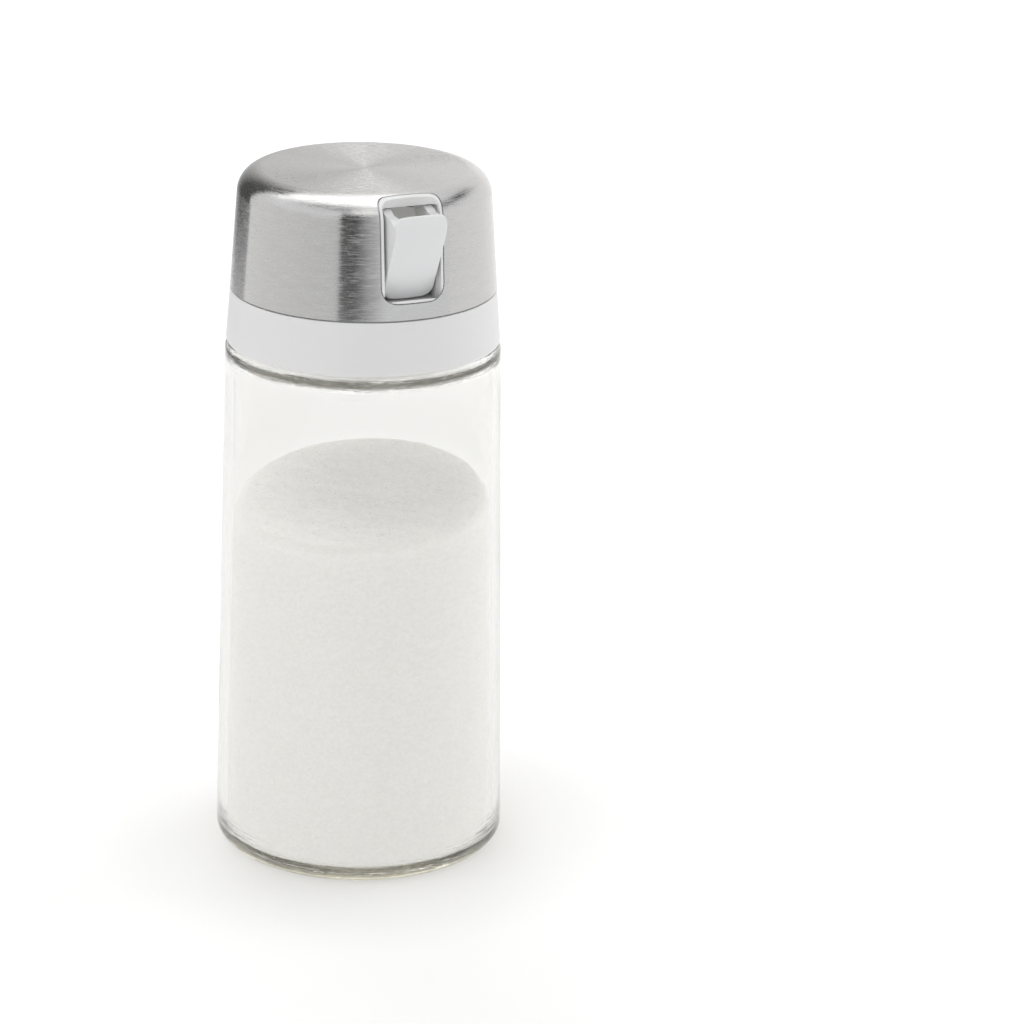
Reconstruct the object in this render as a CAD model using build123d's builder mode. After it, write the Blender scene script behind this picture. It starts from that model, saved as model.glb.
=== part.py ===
from build123d import *
import os
from math import atan, cos, radians, sin, sqrt

os.makedirs("parts", exist_ok=True)

# Sugar dispenser: a glass jar with a screw-on steel-topped lid whose pour flap rocks on a pin.
# Origin at the middle of the foot, +Z up, flap facing -Y. All sizes in millimetres.

# Glass jar
shoulder_height = 133.6
shoulder_radius = 34.7
foot_radius = 37.3
heel_fillet = 3.5
foot_ring_width = 2.8
punt_depth = 1.2
glass_wall = 2.6
base_thickness = 3.4
inner_heel_fillet = 2.0
shoulder_fillet = 1.6
shoulder_thickness = 2.4
inner_shoulder_fillet = 2.6
neck_step = 4.1
neck_wall = 2.8
neck_height = 13.6
rim_fillet = 0.8
neck_root_fillet = 0.8

# Three-lead screw thread between the jar and the lid
thread_starts = 3
thread_lead = 12.0
thread_depth = 1.3
thread_root_width = 1.9
thread_crest_width = 0.8
thread_root_sink = 0.5
thread_play = 0.35
thread_radial_play = 0.35
jar_thread_sweep = 150.0
lid_thread_sweep = 60.0
thread_from_shoulder = 5.4

# Sugar in the jar
sugar_depth = 90.0
sugar_slope = 8.2
sugar_slope_heading = 46.5
sugar_clearance = 0.15

# Rim gasket
gasket_thickness = 2.0
gasket_inner_margin = 0.1
gasket_outer_margin = 1.1
gasket_seat_play = 0.15
gasket_seat_depth = 1.5

# Threaded collar of the lid
collar_gap = 0.6
collar_height = 13.5
collar_bottom_wall = 2.25
collar_top_wall = 1.2
collar_edge_fillet = 0.5
web_thickness = 1.8
skirt_setback = 1.0
guide_setback = 0.3
guide_wall = 1.5
guide_wall_height = 10.4

# Steel cap
parting_gap = 0.4
cap_height = 29.9
cap_narrowing = 2.2
cap_fillet = 6.1
steel_thickness = 0.6

# Inner cap under the steel
liner_gap = 0.9
liner_wall = 2.0
liner_lap_play = 0.15
liner_top_thickness = 1.8
seam_gap = 0.4

# Window in the cap and its frame
window_width = 16.7
window_sill = 3.9
window_head_inset = 6.65
window_corner = 4.2
window_head_corner = 2.6
frame_play = 0.3
frame_rim = 0.65
frame_head_rim = 1.1
frame_depth = 1.9
frame_flange = 1.25
frame_skin_gap = 0.15
frame_relief_skin = 0.7

# Pour flap
flap_gap = 0.5
flap_side_gap = 0.8
flap_sill_gap = 0.9
flap_proud = 0.8
flap_thickness = 1.9
flap_edge_fillet = 0.45
flap_open_angle = 31.0
pin_height = 14.2
pin_inset = 5.45
pin_radius = 0.9
pin_running_clearance = 0.05
pin_seat_clearance = 0.02
pin_end_gap = 0.2
pin_chamfer = 0.22
boss_radius = 2.1
cheek_thickness = 2.2
cheek_arc_radius = 12.45
cheek_notch_radius = 11.6
cheek_notch_angle = 21.0
cheek_tail_radius = 12.6
cheek_tail_angle = 34.0
cheek_bump_angle = 5.7
tail_reach = 12.2
tail_height = 5.3
arm_width = 3.3

# Housing that carries the flap
housing_side_gap = 0.4
housing_wall = 1.4
housing_depth = 5.4
housing_floor = 0.8
housing_back_height = 13.0
stop_rib_width = 8.0
stop_gap = 0.3
sweep_gap = 0.35
part_gap = 0.2
cutter_margin = 5.0

# Heights and radii that follow from the sizes above
neck_radius = shoulder_radius - neck_step
neck_bore_radius = neck_radius - neck_wall
rim_height = shoulder_height + neck_height
gasket_radius = neck_radius + gasket_outer_margin
collar_bottom = shoulder_height + collar_gap
collar_top = collar_bottom + collar_height
web_bottom = rim_height + gasket_thickness
web_top = web_bottom + web_thickness
cap_base = collar_top + parting_gap
cap_top = cap_base + cap_height
collar_bore_radius = neck_radius + thread_depth + thread_radial_play
collar_bottom_radius = collar_bore_radius + collar_bottom_wall
collar_top_radius = collar_bore_radius + collar_top_wall
cap_taper = cap_narrowing / cap_height
cap_lean = atan(cap_taper)
skirt_radius = collar_top_radius - skirt_setback
guide_radius = neck_bore_radius - guide_setback
guide_outer_radius = guide_radius + guide_wall
guide_top = web_top + guide_wall_height
liner_top = cap_top - steel_thickness
ceiling = liner_top - liner_top_thickness
window_bottom = cap_base + window_sill
window_head_setback = collar_top_radius - window_head_inset
pin_setback = collar_top_radius - pin_inset
frame_bottom = window_bottom + frame_play
frame_head = window_head_setback + frame_play
frame_width = window_width - 2 * frame_play
opening_width = frame_width - 2 * frame_rim
opening_bottom = frame_bottom + frame_rim
opening_head = frame_head + frame_head_rim
flap_width = opening_width - 2 * flap_side_gap
flap_bottom = opening_bottom + flap_sill_gap
flap_head = opening_head + flap_gap
flap_inset = flap_thickness - flap_proud
pin_z = cap_base + pin_height


def cap_radius(height, inset=0.0):
    # Radius of the cap's straight wall at a height, less a setback into the cap.
    return collar_top_radius - cap_taper * (height - cap_base) - inset / cos(cap_lean)


def cap_form(inset):
    # Solid that fills the cap's outside shape, set in by the same distance on wall, shoulder and top.
    top = cap_top - inset
    with BuildPart() as form:
        with BuildSketch(Plane.XZ):
            with BuildLine():
                outline = FilletPolyline(
                    (cap_radius(cap_base, inset), cap_base),
                    (cap_radius(top, inset), top),
                    (0, top),
                    radius=[cap_fillet - inset],
                )
                Polyline(outline @ 1, (0, cap_base), outline @ 0)
            make_face()
        revolve(axis=Axis.Z)
    return form.part


def window_form(width, bottom, head, corner, head_corner):
    # Cutter for the window: straight back from the front below, straight down from above at the shoulder.
    seam = cap_top - cap_fillet
    front = cap_radius(cap_base) + cutter_margin
    with BuildPart() as form:
        with BuildSketch(Plane.XZ.offset(pin_setback / 2)):
            with Locations((0, (bottom + seam) / 2)):
                lower = Rectangle(width, seam - bottom)
            fillet(lower.vertices().group_by(Axis.Y)[0], corner)
        extrude(amount=front - pin_setback / 2)
        with BuildSketch(Plane.XY.offset(seam)):
            with Locations((0, -(head + front) / 2)):
                upper = Rectangle(width, front - head)
            fillet(upper.vertices().group_by(Axis.Y)[-1], head_corner)
        extrude(amount=cap_fillet + cutter_margin)
    return form.part


def pin_cylinder(radius, length):
    # Cylinder on the flap's pin axis.
    with BuildPart() as form:
        with BuildSketch(Plane.YZ.offset(-length / 2)):
            with Locations((-pin_setback, pin_z)):
                Circle(radius)
        extrude(amount=length)
    return form.part


def thread_ridge(root_radius, crest_radius, start_height, start_angle, sweep_angle):
    # One ridge of the thread, swept up a helix from a trapezoid section.
    depth = crest_radius - root_radius
    sink = -thread_root_sink if depth > 0 else thread_root_sink
    height = thread_lead * sweep_angle / 360
    with BuildPart() as ridge:
        with BuildLine():
            path = Helix(thread_lead, height, root_radius, center=(0, 0, start_height))
        start = Plane(origin=path @ 0, x_dir=(1, 0, 0), z_dir=path % 0)
        with BuildSketch(start):
            with BuildLine():
                Polyline(
                    (sink, -thread_root_width / 2),
                    (0, -thread_root_width / 2),
                    (depth, -thread_crest_width / 2),
                    (depth, thread_crest_width / 2),
                    (0, thread_root_width / 2),
                    (sink, thread_root_width / 2),
                    close=True,
                )
            make_face()
        sweep(path=path, is_frenet=True)
    return ridge.part.rotate(Axis.Z, start_angle)


# Forms that several pieces share
cap_outside = cap_form(0)
cap_inside = cap_form(steel_thickness)
flange_outside = cap_form(steel_thickness + frame_skin_gap)
frame_back = cap_form(frame_depth)
housing_front = cap_form(frame_depth + part_gap / 2)
frame_clear = cap_form(frame_depth + part_gap)
window_opening = window_form(
    opening_width,
    opening_bottom,
    opening_head,
    window_corner - frame_play - frame_rim,
    window_head_corner - frame_rim,
)

# Threads: the lid's ridges ride under the jar's
jar_thread_height = shoulder_height + thread_from_shoulder
flank_width = (thread_root_width + thread_crest_width) / 2
lid_thread_drop = flank_width + thread_play
thread_step = 360 / thread_starts
lid_thread_start = (jar_thread_sweep - lid_thread_sweep) / 2
lid_thread_rise = thread_lead * lid_thread_start / 360
jar_ridges = [
    thread_ridge(
        neck_radius,
        neck_radius + thread_depth,
        jar_thread_height,
        lead * thread_step,
        jar_thread_sweep,
    )
    for lead in range(thread_starts)
]
lid_ridges = [
    thread_ridge(
        collar_bore_radius,
        collar_bore_radius - thread_depth,
        jar_thread_height - lid_thread_drop + lid_thread_rise,
        lead * thread_step + lid_thread_start,
        lid_thread_sweep,
    )
    for lead in range(thread_starts)
]

# Glass jar: thick base with a hollowed foot, gently tapering wall, shoulder and threaded neck
foot_ring_inner = foot_radius - heel_fillet - foot_ring_width
with BuildPart() as glass_jar:
    with BuildSketch(Plane.XZ):
        with BuildLine():
            outside = FilletPolyline(
                (0, punt_depth),
                (foot_ring_inner - punt_depth, punt_depth),
                (foot_ring_inner, 0),
                (foot_radius, 0),
                (shoulder_radius, shoulder_height),
                (neck_radius, shoulder_height),
                (neck_radius, rim_height),
                (neck_bore_radius, rim_height),
                (neck_bore_radius, shoulder_height - shoulder_thickness),
                (shoulder_radius - glass_wall, shoulder_height - shoulder_thickness),
                (foot_radius - glass_wall, base_thickness),
                (0, base_thickness),
                radius=[
                    0,
                    0,
                    heel_fillet,
                    shoulder_fillet,
                    neck_root_fillet,
                    rim_fillet,
                    rim_fillet,
                    rim_fillet,
                    inner_shoulder_fillet,
                    inner_heel_fillet,
                ],
            )
            Line(outside @ 1, outside @ 0)
        make_face()
    revolve(axis=Axis.Z)
    add(jar_ridges)

# Sugar: fills the jar's inside up to a slope that rises away from the pouring side
inner_taper = (foot_radius - shoulder_radius) / (shoulder_height - shoulder_thickness - base_thickness)
sugar_limit = sugar_depth + 2 * neck_radius * sin(radians(sugar_slope))
sugar_bottom_radius = foot_radius - glass_wall - sugar_clearance
with BuildPart() as sugar_fill:
    with BuildSketch(Plane.XZ):
        with BuildLine():
            heap = FilletPolyline(
                (0, base_thickness),
                (sugar_bottom_radius, base_thickness),
                (sugar_bottom_radius - inner_taper * sugar_limit, base_thickness + sugar_limit),
                radius=[inner_heel_fillet],
            )
            Polyline(heap @ 1, (0, base_thickness + sugar_limit), heap @ 0)
        make_face()
    revolve(axis=Axis.Z)
    surface_tilt = (
        -sin(radians(sugar_slope)) * cos(radians(sugar_slope_heading)),
        -sin(radians(sugar_slope)) * sin(radians(sugar_slope_heading)),
        cos(radians(sugar_slope)),
    )
    split(
        bisect_by=Plane(origin=(0, 0, base_thickness + sugar_depth), z_dir=surface_tilt),
        keep=Keep.BOTTOM,
    )

# Silicone gasket on the jar's rim
with BuildPart() as rim_gasket:
    with BuildSketch(Plane.XY.offset(rim_height)):
        Circle(gasket_radius)
        Circle(neck_bore_radius + gasket_inner_margin, mode=Mode.SUBTRACT)
    extrude(amount=gasket_thickness)

# Place of the flap's housing, and the notch for it in the collar's guide wall and the inner cap
housing_inner = flap_width / 2 + housing_side_gap
housing_outer = housing_inner + housing_wall
housing_rear = pin_setback - housing_depth
notch_rear = housing_rear - part_gap
notch_width = 2 * (housing_outer + part_gap)

# Threaded collar: visible white band, sealing web over the rim and a guide wall up inside the cap
with BuildPart() as lid_collar:
    with BuildSketch(Plane.XZ):
        with BuildLine():
            section = FilletPolyline(
                (collar_bore_radius, collar_bottom),
                (collar_bottom_radius, collar_bottom),
                (collar_top_radius, collar_top),
                (skirt_radius, collar_top),
                (skirt_radius, web_top),
                (guide_outer_radius, web_top),
                (guide_outer_radius, guide_top),
                (guide_radius, guide_top),
                (guide_radius, web_bottom),
                (gasket_radius + gasket_seat_play, web_bottom),
                (gasket_radius + gasket_seat_play, rim_height - gasket_seat_depth),
                (collar_bore_radius, rim_height - gasket_seat_depth),
                radius=[collar_edge_fillet, collar_edge_fillet / 2, 0, 0, 0, 0, 0, 0, 0, 0],
            )
            Line(section @ 1, section @ 0)
        make_face()
    revolve(axis=Axis.Z)
    add(lid_ridges)
    with BuildSketch(Plane.XY.offset(web_top)):
        with Locations((0, -(notch_rear + collar_top_radius) / 2)):
            Rectangle(notch_width, collar_top_radius - notch_rear)
    extrude(amount=guide_wall_height, mode=Mode.SUBTRACT)

# Steel cap: spun shell with the window cut through wall and shoulder
steel_window = window_form(
    window_width, window_bottom, window_head_setback, window_corner, window_head_corner
)
with BuildPart() as steel_cap:
    add(cap_outside)
    add(cap_inside, mode=Mode.SUBTRACT)
    add(steel_window, mode=Mode.SUBTRACT)

# Window frame: rim flush with the steel, wider flange behind it, sill hollowed to the flap's sweep
flap_reach = sqrt((cap_radius(flap_bottom, -flap_proud) - pin_setback) ** 2 + (pin_z - flap_bottom) ** 2)
flap_sweep = pin_cylinder(flap_reach + sweep_gap, opening_width)
relief_inside = cap_form(frame_relief_skin)
with BuildPart() as cheek_sweep:
    add(pin_cylinder(cheek_tail_radius + sweep_gap, opening_width))
    split(bisect_by=Plane.XY.offset(pin_z), keep=Keep.TOP)
    add(relief_inside, mode=Mode.INTERSECT)
frame_rim_form = window_form(
    frame_width,
    frame_bottom,
    frame_head,
    window_corner - frame_play,
    window_head_corner - frame_play / 2,
)
frame_flange_form = window_form(
    window_width + 2 * frame_flange,
    web_top + frame_play,
    window_head_setback - frame_flange + frame_play,
    window_corner,
    window_head_corner,
)
with BuildPart() as frame_flange_ring:
    add(frame_flange_form)
    add(flange_outside, mode=Mode.INTERSECT)
with BuildPart() as window_frame:
    add(frame_rim_form)
    add(cap_outside, mode=Mode.INTERSECT)
    add(frame_flange_ring.part)
    add(frame_back, mode=Mode.SUBTRACT)
    add(window_opening, mode=Mode.SUBTRACT)
    add(flap_sweep, mode=Mode.SUBTRACT)
    add(cheek_sweep.part, mode=Mode.SUBTRACT)

# Inner cap: plastic shell that carries the steel, lapped over the guide wall at its seam
liner_radius = cap_radius(cap_top - cap_fillet, steel_thickness) - liner_gap
liner_lap_radius = guide_outer_radius + liner_lap_play
slot_form = window_form(
    window_width + 2 * (frame_flange + part_gap),
    web_top,
    window_head_setback - frame_flange,
    window_corner,
    window_head_corner,
)
with BuildPart() as frame_slot:
    add(slot_form)
    add(frame_clear, mode=Mode.SUBTRACT)
with BuildPart() as inner_cap:
    with BuildSketch(Plane.XZ):
        with BuildLine():
            shell = FilletPolyline(
                (liner_radius, web_top),
                (liner_radius, liner_top),
                (0, liner_top),
                radius=[cap_fillet - steel_thickness],
            )
            hollow = FilletPolyline(
                (0, ceiling),
                (liner_radius - liner_wall, ceiling),
                (liner_radius - liner_wall, guide_top + seam_gap),
                (liner_lap_radius, guide_top + seam_gap),
                (liner_lap_radius, web_top),
                radius=[cap_fillet - steel_thickness - liner_top_thickness, 0, 0],
            )
            Line(shell @ 1, hollow @ 0)
            Line(hollow @ 1, shell @ 0)
        make_face()
    revolve(axis=Axis.Z)
    add(frame_slot.part, mode=Mode.SUBTRACT)
    with BuildSketch(Plane.XY.offset(web_top)):
        with Locations((0, -(notch_rear + collar_top_radius) / 2)):
            Rectangle(notch_width, collar_top_radius - notch_rear)
    extrude(amount=ceiling - web_top, mode=Mode.SUBTRACT)

# Flap housing: two ears with the pin's seats, a floor, a back wall with the opening stop
ear_depth = collar_top_radius - housing_rear
corner_front = sqrt(cap_radius(flap_bottom, flap_inset) ** 2 - (stop_rib_width / 2) ** 2) - pin_setback
corner_drop = pin_z - flap_bottom
pressed_angle = atan(corner_front / corner_drop) - radians(flap_open_angle)
pressed_corner = pin_setback + sqrt(corner_front**2 + corner_drop**2) * sin(pressed_angle)
stop_front = pressed_corner - stop_gap
with BuildPart() as flap_housing:
    with BuildSketch(Plane.XY.offset(web_top)):
        with Locations((0, -(housing_rear + collar_top_radius) / 2)):
            Rectangle(2 * housing_outer, ear_depth)
    extrude(amount=ceiling - web_top)
    with BuildSketch(Plane.XY.offset(web_top + housing_floor)):
        with Locations((0, -(housing_rear + collar_top_radius) / 2)):
            Rectangle(2 * housing_inner, ear_depth)
    extrude(amount=ceiling - web_top, mode=Mode.SUBTRACT)
    with BuildSketch(Plane.XY.offset(web_top)):
        with Locations((0, -housing_rear - housing_wall / 2)):
            Rectangle(2 * housing_outer, housing_wall)
    extrude(amount=housing_back_height)
    with BuildSketch(Plane.XY.offset(web_top)):
        with Locations((0, -(housing_rear + stop_front) / 2)):
            Rectangle(stop_rib_width, stop_front - housing_rear)
    extrude(amount=flap_bottom + flap_thickness - web_top)
    with BuildSketch(Plane.XY.offset(web_top)):
        with Locations((0, -housing_rear - housing_wall / 2)):
            with GridLocations(flap_width - cheek_thickness, 0, 2, 1):
                Rectangle(cheek_thickness, housing_wall)
    extrude(amount=pin_z + tail_height - stop_gap - web_top)
    add(housing_front, mode=Mode.INTERSECT)
    add(pin_cylinder(pin_radius + pin_seat_clearance, 2 * housing_outer + cutter_margin), mode=Mode.SUBTRACT)

# Hinge pin, held in the ears
pin_length = 2 * (housing_outer - pin_end_gap)
with BuildPart() as flap_pin:
    with BuildSketch(Plane.YZ.offset(-pin_length / 2)):
        with Locations((-pin_setback, pin_z)):
            Circle(pin_radius)
    extrude(amount=pin_length)
    chamfer(flap_pin.edges().filter_by(GeomType.CIRCLE), pin_chamfer)


def about_pin(radius, angle):
    # Point at a radius from the pin, angle measured from straight up towards the middle of the cap.
    return (-pin_setback + radius * sin(radians(angle)), pin_z + radius * cos(radians(angle)))


# Flap as moulded, in its closed place: face a little proud of cap and shoulder, two cheeks, pin boss
flap_form = window_form(
    flap_width,
    flap_bottom,
    flap_head,
    window_corner - frame_play - frame_rim - flap_gap,
    window_head_corner - frame_rim - flap_gap,
)
flap_front = cap_form(-flap_proud)
flap_back = cap_form(flap_inset)
plate_middle = cap_form(flap_thickness / 2 - flap_proud)
tail_end = (-pin_setback + tail_reach, pin_z + tail_height)
with BuildPart() as cheek_pair:
    with BuildSketch(Plane.YZ.offset(flap_width / 2 - cheek_thickness)):
        with BuildLine():
            front_top = (-collar_top_radius, pin_z + cheek_arc_radius)
            front_low = (-collar_top_radius, pin_z - boss_radius)
            RadiusArc(
                about_pin(cheek_arc_radius, -cheek_bump_angle),
                about_pin(cheek_arc_radius, cheek_bump_angle),
                cheek_arc_radius,
            )
            Polyline(
                about_pin(cheek_arc_radius, cheek_bump_angle),
                about_pin(cheek_notch_radius, cheek_notch_angle),
                about_pin(cheek_tail_radius, cheek_tail_angle),
                tail_end,
                (-pin_setback + arm_width, pin_z + tail_height),
                (-pin_setback + boss_radius, pin_z),
                (-pin_setback, pin_z - boss_radius),
                front_low,
                front_top,
                about_pin(cheek_arc_radius, -cheek_bump_angle),
            )
        make_face()
    extrude(amount=cheek_thickness)
    mirror(about=Plane.YZ)
with BuildPart() as flap_plate:
    add(flap_form)
    add(flap_front, mode=Mode.INTERSECT)
    add(flap_back, mode=Mode.SUBTRACT)
    plate_wall = flap_plate.faces().filter_by(GeomType.CONE).sort_by(Axis.Y)[0]
    plate_shoulder = flap_plate.faces().filter_by(GeomType.TORUS).sort_by(Axis.Y)[0]
    seam = plate_wall.edges().sort_by(Axis.Z)[-1]
    face_edges = plate_wall.edges() + plate_shoulder.edges()
    fillet(face_edges.filter_by(lambda edge: not edge.is_same(seam)), flap_edge_fillet)
with BuildPart() as flap_closed:
    add(cheek_pair.part)
    with BuildSketch(Plane.YZ.offset(-flap_width / 2)):
        with Locations((-pin_setback, pin_z)):
            Circle(boss_radius)
        with Locations((-(pin_setback + collar_top_radius) / 2, pin_z)):
            Rectangle(collar_top_radius - pin_setback, boss_radius)
    extrude(amount=flap_width)
    add(plate_middle, mode=Mode.INTERSECT)
    add(flap_plate.part)
    add(pin_cylinder(pin_radius + pin_running_clearance, flap_width + cutter_margin), mode=Mode.SUBTRACT)

# Flap as it rests here: pressed open about its pin
pin_axis = Axis((0, -pin_setback, pin_z), (1, 0, 0))
with BuildPart() as flap:
    add(flap_closed.part.rotate(pin_axis, flap_open_angle))

pieces = {
    "glass_jar": glass_jar,
    "sugar_fill": sugar_fill,
    "rim_gasket": rim_gasket,
    "lid_collar": lid_collar,
    "steel_cap": steel_cap,
    "window_frame": window_frame,
    "inner_cap": inner_cap,
    "flap_housing": flap_housing,
    "flap_pin": flap_pin,
    "flap": flap,
}
for name, piece in pieces.items():
    piece.part.label = name
    export_step(piece.part, f"parts/{name}.step")
    print(name, "solids", len(piece.part.solids()), "volume", round(piece.part.volume, 1))
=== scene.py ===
from math import atan2, cos, pi, radians, sin, tan

import bpy
from mathutils import Matrix, Vector


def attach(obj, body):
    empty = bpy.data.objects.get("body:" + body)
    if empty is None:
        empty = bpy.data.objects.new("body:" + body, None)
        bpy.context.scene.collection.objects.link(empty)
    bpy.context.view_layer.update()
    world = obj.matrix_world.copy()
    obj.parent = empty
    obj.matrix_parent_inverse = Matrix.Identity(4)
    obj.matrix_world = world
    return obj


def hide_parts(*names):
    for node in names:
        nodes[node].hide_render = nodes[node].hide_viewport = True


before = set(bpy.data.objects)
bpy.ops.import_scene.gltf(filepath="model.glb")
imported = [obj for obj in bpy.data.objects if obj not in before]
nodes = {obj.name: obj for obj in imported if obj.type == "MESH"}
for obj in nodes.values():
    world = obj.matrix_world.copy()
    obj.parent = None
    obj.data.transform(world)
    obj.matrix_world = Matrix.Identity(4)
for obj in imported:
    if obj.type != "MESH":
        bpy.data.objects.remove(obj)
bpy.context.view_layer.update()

print("frame loaded:", ", ".join(sorted(nodes)))

# ---- small helpers for node trees

def plug(tree, socket, source):
    if isinstance(source, bpy.types.NodeSocket):
        tree.links.new(source, socket)
    else:
        socket.default_value = source


def addNode(tree, kind, settings=None, **values):
    made = tree.nodes.new(kind)
    for name, value in (settings or {}).items():
        setattr(made, name, value)
    for name, value in values.items():
        plug(tree, made.inputs[name], value)
    return made


def maths(tree, operation, a, b=0.0, c=0.0):
    made = tree.nodes.new("ShaderNodeMath")
    made.operation = operation
    for socket, source in zip(made.inputs, (a, b, c)):
        plug(tree, socket, source)
    return made.outputs[0]


def spread(tree, value, low, high, newLow=0.0, newHigh=1.0):
    made = tree.nodes.new("ShaderNodeMapRange")
    for name, source in (
        ("Value", value), ("From Min", low), ("From Max", high), ("To Min", newLow), ("To Max", newHigh),
    ):
        plug(tree, made.inputs[name], source)
    return made.outputs["Result"]


def swing(tree, value, amount):  # a value from 0 to 1 becomes one that swings round zero
    return maths(tree, "MULTIPLY", maths(tree, "SUBTRACT", value, 0.5), amount)


def grainNoise(tree, place, scale, detail, roughness):
    made = addNode(tree, "ShaderNodeTexNoise", {"noise_dimensions": "3D"}, Vector=place, Scale=scale,
                   Detail=detail, Roughness=roughness)
    return made.outputs["Fac"]


def scaledColour(tree, colour, tone):
    made = addNode(tree, "ShaderNodeVectorMath", {"operation": "SCALE"})
    plug(tree, made.inputs[0], colour)
    plug(tree, made.inputs["Scale"], tone)
    return made.outputs[0]


def newGroup(name, inputs, outputs):
    tree = bpy.data.node_groups.new(name, "ShaderNodeTree")
    for label, value in inputs.items():
        socket = tree.interface.new_socket(label, in_out="INPUT", socket_type="NodeSocketFloat")
        socket.default_value = value
    for label in outputs:
        tree.interface.new_socket(label, in_out="OUTPUT", socket_type="NodeSocketFloat")
    return tree, tree.nodes.new("NodeGroupInput").outputs, tree.nodes.new("NodeGroupOutput").inputs


def useGroup(tree, group, **values):
    made = tree.nodes.new("ShaderNodeGroup")
    made.node_tree = group
    for name, value in values.items():
        made.inputs[name].default_value = value
    return made.outputs


def newMaterial(name, **shaderValues):
    material = bpy.data.materials.new(name)
    material.use_nodes = True
    tree = material.node_tree
    shader = tree.nodes["Principled BSDF"]
    for label, value in shaderValues.items():
        shader.inputs[label.replace("_", " ")].default_value = value
    return material, tree, shader


def bumpInto(tree, shader, height, distance):
    made = addNode(tree, "ShaderNodeBump", Height=height, Distance=distance, Strength=1.0)
    tree.links.new(made.outputs["Normal"], shader.inputs["Normal"])


# ---- effects that several finishes share

# moulded plastic: fine spark-eroded grain, slow sink and flow marks, a little handling dullness
skinLook = {"flowScale": 55.0, "handlingScale": 140.0, "flowTone": 0.06, "grainTone": 0.03,
            "handlingDulls": 0.3}
mouldedSkin, given, out = newGroup(
    "mouldedSkin",
    {"Grain Size": 0.0003, "Grain": 0.5, "Flow": 0.5, "Handling": 0.5},
    ["Tone", "Roughness", "Height"],
)
place = addNode(mouldedSkin, "ShaderNodeTexCoord").outputs["Object"]
grainScale = maths(mouldedSkin, "DIVIDE", 1.0, given["Grain Size"])
fine = grainNoise(mouldedSkin, place, grainScale, detail=3.0, roughness=0.6)
flow = grainNoise(mouldedSkin, place, skinLook["flowScale"], detail=2.0, roughness=0.5)
handling = grainNoise(mouldedSkin, place, skinLook["handlingScale"], detail=4.0, roughness=0.65)
flowing = maths(mouldedSkin, "MULTIPLY", swing(mouldedSkin, flow, given["Flow"]), skinLook["flowTone"])
grained = maths(mouldedSkin, "MULTIPLY", swing(mouldedSkin, fine, given["Grain"]), skinLook["grainTone"])
plug(mouldedSkin, out["Tone"], maths(mouldedSkin, "ADD", maths(mouldedSkin, "ADD", flowing, grained), 1.0))
handled = swing(mouldedSkin, handling, given["Handling"])
plug(mouldedSkin, out["Roughness"], maths(mouldedSkin, "MULTIPLY", handled, skinLook["handlingDulls"]))
plug(mouldedSkin, out["Height"], maths(mouldedSkin, "ADD",
                                       maths(mouldedSkin, "MULTIPLY", fine, given["Grain"]),
                                       maths(mouldedSkin, "MULTIPLY", flow, given["Flow"])))

# lines left by brushing or turning round an upright axis: rings on top, hoops on the side
linesLook = {"axisRadius": 0.0001, "streakStroke": 5.0, "streaksPerMetre": 900.0}
turnedLines, given, out = newGroup(
    "turnedLines",
    {"Lines Per Metre": 9000.0, "Stroke": 14.0, "Contrast": 1.0},
    ["Line", "Streak"],
)
place = addNode(turnedLines, "ShaderNodeTexCoord").outputs["Object"]
apart = addNode(turnedLines, "ShaderNodeSeparateXYZ", Vector=place).outputs
x, y, z = apart["X"], apart["Y"], apart["Z"]
across = maths(turnedLines, "SQRT", maths(turnedLines, "ADD", maths(turnedLines, "MULTIPLY", x, x),
                                          maths(turnedLines, "MULTIPLY", y, y)))
safeAcross = maths(turnedLines, "MAXIMUM", across, linesLook["axisRadius"])
lineX = maths(turnedLines, "DIVIDE", x, safeAcross)
lineY = maths(turnedLines, "DIVIDE", y, safeAcross)
alongProfile = maths(turnedLines, "SUBTRACT", z, across)
for label, stroke, perMetre, roughness in (
    ("Line", given["Stroke"], given["Lines Per Metre"], 0.65),
    ("Streak", linesLook["streakStroke"], linesLook["streaksPerMetre"], 0.6),
):
    drawn = addNode(turnedLines, "ShaderNodeCombineXYZ", X=maths(turnedLines, "MULTIPLY", lineX, stroke),
                    Y=maths(turnedLines, "MULTIPLY", lineY, stroke),
                    Z=maths(turnedLines, "MULTIPLY", alongProfile, perMetre)).outputs[0]
    noise = grainNoise(turnedLines, drawn, 1.0, detail=3.0, roughness=roughness)
    plug(turnedLines, out[label], swing(turnedLines, noise, given["Contrast"]))

# faint smears and dust that dull a polished face
smearLook = {"clearBelow": 0.45, "fullAbove": 0.75}
smears, given, out = newGroup("smears", {"Size": 0.012, "Amount": 1.0}, ["Dulling"])
place = addNode(smears, "ShaderNodeTexCoord").outputs["Object"]
blotch = grainNoise(smears, place, maths(smears, "DIVIDE", 1.0, given["Size"]), detail=4.0, roughness=0.6)
dirt = spread(smears, blotch, smearLook["clearBelow"], smearLook["fullAbove"])
plug(smears, out["Dulling"], maths(smears, "MULTIPLY", dirt, given["Amount"]))
print("shared effects built")


# ---- finishes

plasticBody = {"ior": 1.49, "reach": (1.0, 0.9, 0.8), "scale": 0.0012}


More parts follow.
